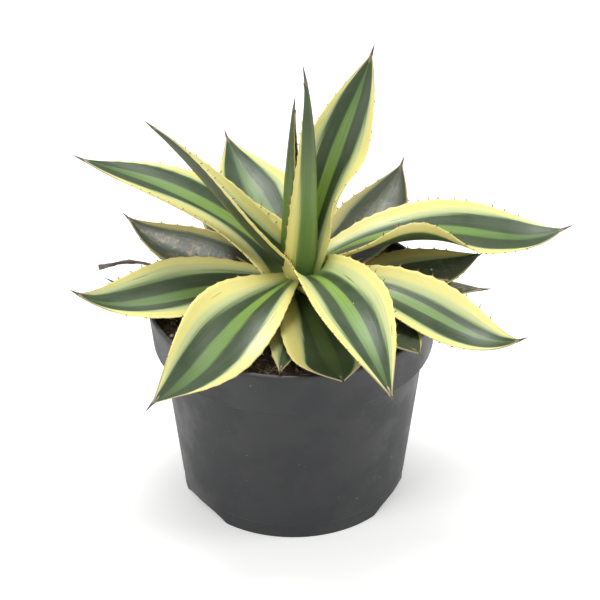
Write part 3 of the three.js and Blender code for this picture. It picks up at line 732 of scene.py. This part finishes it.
lower = colour_steps(tree, band, [
    (0.0, (108, 138, 66)), (0.3, (98, 128, 62)), (0.6, (96, 126, 62)), (0.66, (122, 142, 76)),
    (0.7, (186, 190, 112)), (0.8, (228, 216, 128)), (1.0, (234, 222, 140)),
])
middle = maths(tree, "MULTIPLY", fade(tree, band, 0.15, 0.25, 1.0, 0.0), light)
middle = maths(tree, "MULTIPLY", middle, fade(tree, along, 0.65, 1.0, 1.0, 0.25))
middle = maths(tree, "MULTIPLY", middle, fade(tree, fine, 0.3, 0.6, 0.7, 1.0))
light_green = blended(tree, fade(tree, along, 0.2, 0.8), seen(134, 170, 70), seen(112, 146, 74))
upper = blended(tree, middle, upper, light_green)
# Painted shadow: thin dark green streaks across the pale band between the dark green and the yellow margin,
# at random places along the blade, stand for shadow lines.
sliver = maths(tree, "MULTIPLY", fade(tree, shadow_streak_lines, 0.66, 0.7), fade(tree, band, 0.66, 0.7))
sliver = maths(tree, "MULTIPLY", sliver, fade(tree, band, 0.84, 0.92, 0.85, 0.0))
upper = blended(tree, sliver, upper, seen(66, 92, 62))
upper = blended(tree, fade(tree, along, 0.03, 0.2, 0.9, 0.0), upper, seen(128, 150, 84))
# The lower face's green darkens towards the tip, and all over on aged leaves; on the low leaves this
# darkening is painted shade as well as age.
dull = maths(tree, "MAXIMUM", fade(tree, old, 0.05, 0.2), fade(tree, along, 0.4, 0.85, 0.0, 0.85))
lower_dark = maths(tree, "MULTIPLY", dull, fade(tree, band, 0.66, 0.76, 1.0, 0.0))
lower = blended(tree, lower_dark, lower, seen(54, 66, 40))
skin = blended(tree, fade(tree, under, 0.3, 0.7), upper, lower)
wax = effect(tree, clouds, Vector=place, Scale=55.0, Roughness=0.6)["Value"]
skin = blended(tree, maths(tree, "MULTIPLY", wax, 0.06), skin, seen(150, 164, 140))
skin = blended(tree, fade(tree, veins, 0.45, 0.8, 0.0, 0.12), skin, seen(170, 180, 130))
# Aged leaves are greyed and darkened: real ageing, and painted shade on the low leaves that lie under the
# others.
aged_and_shaded = blended(tree, 1.0, skin, seen(212, 200, 176), mode="MULTIPLY")
grey = blended(tree, 0.35, aged_and_shaded, seen(66, 70, 54))
skin = blended(tree, fade(tree, old, 0.3, 1.0), skin, grey)
dirt = effect(tree, clouds, Vector=place, Scale=190.0, Roughness=0.8)["Value"]
from_midrib = maths(tree, "ABSOLUTE", across)
in_channel = fade(tree, from_midrib, 0.2, 0.7, 1.0, 0.0)
channel_dirt = maths(tree, "MULTIPLY", fade(tree, old, 0.8, 0.95), in_channel)
dirt = maths(tree, "MULTIPLY", fade(tree, dirt, 0.5, 0.9, 0.0, 0.75), channel_dirt)
skin = blended(tree, dirt, skin, seen(146, 130, 92))
drops = effect(tree, specks, Vector=place, Scale=150.0, Size=0.1, Share=0.04)["Mask"]
skin = blended(tree, maths(tree, "MULTIPLY", drops, 0.8), skin, seen(214, 222, 214))
rim = maths(tree, "MULTIPLY", fade(tree, from_midrib, 0.965, 0.99), fade(tree, along, 0.78, 0.92))
skin = blended(tree, maths(tree, "MULTIPLY", rim, 0.8), skin, seen(150, 130, 104))
tree.links.new(skin, surface["Base Color"])
tree.links.new(fade(tree, wax, 0.0, 1.0, 0.3, 0.42), surface["Roughness"])
relief = maths(tree, "ADD", maths(tree, "MULTIPLY", veins, 0.5), maths(tree, "MULTIPLY", broad, 0.8))
tree.links.new(bumped(tree, relief, 0.3, 0.0005), surface["Normal"])

horn, tree, surface = new_material("spine_horn", Roughness=0.5)
place = object_place(tree)
tone = effect(tree, clouds, Vector=place, Scale=700.0, Roughness=0.5)["Value"]
old = parts_of(tree, "leaf_look")[1]
uneven = maths(tree, "MULTIPLY", maths(tree, "SUBTRACT", tone, 0.5), 0.06)
length = maths(tree, "ADD", attribute(tree, "horn"), uneven)
shade = colour_steps(tree, length, [  # teeth take the first half, spines the second
    (0.0, (228, 214, 146)), (0.1, (196, 168, 112)), (0.22, (122, 84, 62)), (0.47, (64, 46, 42)),
    (0.53, (176, 160, 130)), (0.66, (128, 112, 98)), (0.8, (88, 76, 72)), (1.0, (50, 44, 44)),
])
young = maths(tree, "MULTIPLY", fade(tree, old, 0.0, 0.08, 1.0, 0.0), fade(tree, length, 0.1, 0.25))
young = maths(tree, "MULTIPLY", young, fade(tree, length, 0.5, 0.55, 0.8, 0.0))
shade = blended(tree, young, shade, seen(206, 96, 56))
# Teeth and spines darken on aged leaves: real ageing, and painted shade on the low leaves.
shade = blended(tree, fade(tree, old, 0.4, 0.9, 0.0, 0.7), shade, seen(84, 70, 58))
tree.links.new(shade, surface["Base Color"])

tooth_rod = rod(6, 3)
spine_rod = rod(12, 6)


def add_horn(bm, layers, shape, bend, leaf, shade):
    """Adds a tooth or spine: bend puts each point of the straight rod in its place."""
    before_points, before_faces = len(bm.verts), len(bm.faces)
    bm.from_mesh(shape)
    bm.verts.ensure_lookup_table()
    bm.faces.ensure_lookup_table()
    for corner in bm.verts[before_points:]:
        corner[layers["horn"]] = (shade + corner.co.z) / 2
        corner[layers["look"]] = (leaf["light"], leaf["old"], leaf["seed"])
        corner.co = bend(*corner.co) / 1000
    for face in bm.faces[before_faces:]:
        face.material_index = 1


def make_leaf(leaf):
    """One leaf: its blade bent out of a flat slab, then the teeth of both margins and the spine."""
    draw = Random(leaf["seed"])
    bm = bmesh.new()
    bmesh.ops.create_grid(bm, x_segments=BLADE_COLUMNS, y_segments=BLADE_ROWS, size=1)
    skin = bmesh.ops.extrude_face_region(bm, geom=bm.faces[:])["geom"]
    lower_points = [part for part in skin if isinstance(part, bmesh.types.BMVert)]
    bmesh.ops.translate(bm, verts=lower_points, vec=(0, 0, -1))
    rim = [edge for edge in bm.edges if abs(edge.verts[0].co.z - edge.verts[1].co.z) > 0.5]
    bmesh.ops.subdivide_edges(bm, edges=rim, cuts=1)
    layers = {name: bm.verts.layers.float.new(name) for name in ("stripe", "horn")}
    layers["place"] = bm.verts.layers.float_vector.new("blade_place")
    layers["look"] = bm.verts.layers.float_vector.new("leaf_look")
    margins = {1: tooth_places(leaf, draw), -1: tooth_places(leaf, draw)}
    frames, mounds = {}, {}
    for corner in bm.verts:
        stripe, row, depth = corner.co.x, round(corner.co.y, 4), -corner.co.z
        t = (row + 1) / 2
        if row not in frames:
            frames[row] = leaf_frame(leaf, t)
            mounds[row] = {margin: mound_height(leaf, t, places) for margin, places in margins.items()}
        bulge = mounds[row][1 if stripe > 0 else -1]
        if 0.1 < depth < 0.9:
            bulge += EDGE_ROUNDING
        u = place_across(leaf, stripe, t, depth > 0.5)
        corner.co = blade_point(leaf, frames[row], t, u, depth, bulge) / 1000
        corner[layers["stripe"]] = stripe
        corner[layers["place"]] = (u, t, depth)
        corner[layers["look"]] = (leaf["light"], leaf["old"], leaf["seed"])
    bmesh.ops.recalc_face_normals(bm, faces=bm.faces)

    for margin, places in margins.items():
        for t, length in places:
            directions = leaf_frame(leaf, t)
            _, along, side, face = directions
            tilt = channel_tilt(leaf, t, margin)
            root = blade_point(leaf, directions, t, margin, 0.5, TEETH["mound"] * length)
            outwards = side * margin * cos(tilt) + face * sin(tilt)
            over = along.cross(outwards)
            width, hook = draw.uniform(*TEETH["width"]), draw.uniform(*TEETH["hook"])

            def bend(x, y, z):
                taper = (1 - z) ** 1.25 + 0.05
                forward = x * width * taper + hook * z * z
                reach = z * (length + TEETH["root"]) - TEETH["root"]
                return root + along * forward + over * y * TEETH["thickness"] * taper + outwards * reach

            add_horn(bm, layers, tooth_rod, bend, leaf, 0)

    tip, along, side, face = leaf_frame(leaf, 1)
    tip -= face * MIDRIB_THICKNESS[1] / 2

    def bend_spine(x, y, z):
        taper = SPINE_RADIUS * (0.55 + 0.45 * min(z / 0.3, 1)) * (1 - max(z - 0.25, 0) / 0.75) + 0.04
        reach = z * (leaf["spine"] + SPINE_ROOT - 0.4) - SPINE_ROOT
        return tip + along * reach + side * x * taper + face * (y * taper * 0.75 + 0.1)

    add_horn(bm, layers, spine_rod, bend_spine, leaf, 1)
    as_piece(bm, "agave_" + leaf["name"], [leaf_skin, horn], "leaf", leaf["name"])


for i, own in enumerate(LEAVES):
    make_leaf({**LEAF, **own, "seed": 100 + i})

# ---------------------------------------------------------------- dry strip
# What is left of an old leaf: a thin, dry, grey-brown strip that leaves the stem low down, crosses the
# rim and curls down to a frayed, wider end.

STRIP_ROUTE = [  # millimetres from the stem's axis and above the soil
    (-6, 4, 5), (-35, 22, 6), (-62, 29, 7), (-84, 28, 7.6), (-92, 27.5, 9.6), (-100, 27, 10.9),
    (-109, 25.5, 10.2), (-118, 24, 8.7),
]
STRIP_SIDES = 10
STRIP_STEPS = 60


def route_point(route, part):
    """A point on the smooth curve through the route, and the curve's direction there."""
    spans = len(route) - 1
    i = min(int(part * spans), spans - 1)
    x = part * spans - i
    a, b, c, d = (Vector(route[min(max(k, 0), spans)]) for k in (i - 1, i, i + 1, i + 2))
    point = 0.5 * (2 * b + (c - a) * x + (2 * a - 5 * b + 4 * c - d) * x**2 + (3 * b - a - 3 * c + d) * x**3)
    heading = 0.5 * ((c - a) + 2 * (2 * a - 5 * b + 4 * c - d) * x + 3 * (3 * b - a - 3 * c + d) * x**2)
    return point, heading.normalized()


bm = bmesh.new()
bm.from_mesh(rod(STRIP_SIDES, STRIP_STEPS))
for corner in bm.verts:
    part = corner.co.z
    point, heading = route_point(STRIP_ROUTE, part)
    aside = heading.cross(Vector((0, 0, 1))).normalized()
    over = aside.cross(heading)
    crumple = noise.noise(Vector((part * 26, corner.co.x, corner.co.y))) * 0.35
    width = 1.0 + 0.9 * max(part - 0.86, 0) / 0.14 + 0.5 * exp(-(((part - 0.72) / 0.05) ** 2)) + crumple
    curl = 0.9 * part
    flat = aside * cos(curl) + over * sin(curl)
    thin = over * cos(curl) - aside * sin(curl)
    place = point + flat * corner.co.x * width + thin * corner.co.y * (0.55 + 0.3 * crumple)
    corner.co = (place + Vector((AXIS_X, 0, SOIL_LEVEL))) / 1000
dry_skin, tree, surface = new_material("dry_leaf", Roughness=0.85)
place = object_place(tree)
stretch = node(tree, "ShaderNodeMapping", {"Vector": place, "Scale": (120, 900, 900)}).outputs[0]
streaks = node(tree, "ShaderNodeTexNoise", {"Vector": stretch, "Scale": 1.0, "Detail": 3}).outputs[0]
tone = fade(tree, streaks, 0.3, 0.7)
tree.links.new(blended(tree, tone, seen(66, 56, 50), seen(132, 124, 114)), surface["Base Color"])
tree.links.new(bumped(tree, streaks, 0.6, 0.0004), surface["Normal"])
as_piece(bm, "dry_leaf_strip", [dry_skin], "dry_leaf", "dry_stalk")

# ---------------------------------------------------------------- floor, light and camera
# A plain pale floor under soft studio light, seen from in front and above as in the reference view.

FLOOR_SIZE = 12
CAMERA_TILT = 32.9
CAMERA_DISTANCE = 1.455
CAMERA_LENS = 151.02
RIM_CENTRE = Vector((0.00393, 0, 0.127))  # as the camera sees it, close to the pot's axis
AIM_BELOW = 0.00364  # how far below the rim's centre the camera aims, across its view
LIT_PLACE = Vector((0, 0, 0.14))

bm = bmesh.new()
bmesh.ops.create_grid(bm, x_segments=1, y_segments=1, size=FLOOR_SIZE)
floor_mesh = bpy.data.meshes.new("floor")
bm.to_mesh(floor_mesh)
bm.free()
floor = bpy.data.objects.new("floor", floor_mesh)
bpy.context.scene.collection.objects.link(floor)
paper, tree, surface = new_material(
    "pale_floor", Roughness=0.9, Emission_Color=(1, 1, 1, 1), Emission_Strength=0.28
)
tone = effect(tree, clouds, Vector=object_place(tree), Scale=3.0, Roughness=0.4)["Value"]
tree.links.new(blended(tree, tone, seen(247, 247, 246), seen(250, 250, 249)), surface["Base Color"])
floor_mesh.materials.append(paper)

studio = bpy.data.worlds.new("studio")
studio.use_nodes = True
studio.node_tree.nodes["Background"].inputs[0].default_value = (1, 1, 1, 1)
studio.node_tree.nodes["Background"].inputs[1].default_value = 0.5
bpy.context.scene.world = studio


def soft_light(name, place, size, power):
    lamp = bpy.data.lights.new(name, "AREA")
    lamp.size = size
    lamp.energy = power
    lit = bpy.data.objects.new(name, lamp)
    lit.location = place
    lit.rotation_euler = (LIT_PLACE - Vector(place)).to_track_quat("-Z", "Y").to_euler()
    bpy.context.scene.collection.objects.link(lit)


soft_light("overhead_softbox", (-0.05, 0.35, 1.4), 0.6, 13)
soft_light("right_softbox", (1.1, -0.15, 1.0), 0.6, 5)
soft_light("left_softbox", (-1.0, -1.0, 1.2), 0.9, 10)

back = Vector((0, -cos(radians(CAMERA_TILT)), sin(radians(CAMERA_TILT))))
upwards = Vector((0, sin(radians(CAMERA_TILT)), cos(radians(CAMERA_TILT))))
camera = bpy.data.objects.new("camera", bpy.data.cameras.new("camera"))
camera.data.lens = CAMERA_LENS
camera.data.sensor_width = 36
camera.data.clip_end = 50
camera.location = RIM_CENTRE - upwards * AIM_BELOW + back * CAMERA_DISTANCE
camera.rotation_euler = (radians(90 - CAMERA_TILT), 0, 0)
bpy.context.scene.collection.objects.link(camera)
bpy.context.scene.camera = camera
bpy.context.scene.view_settings.view_transform = "Standard"
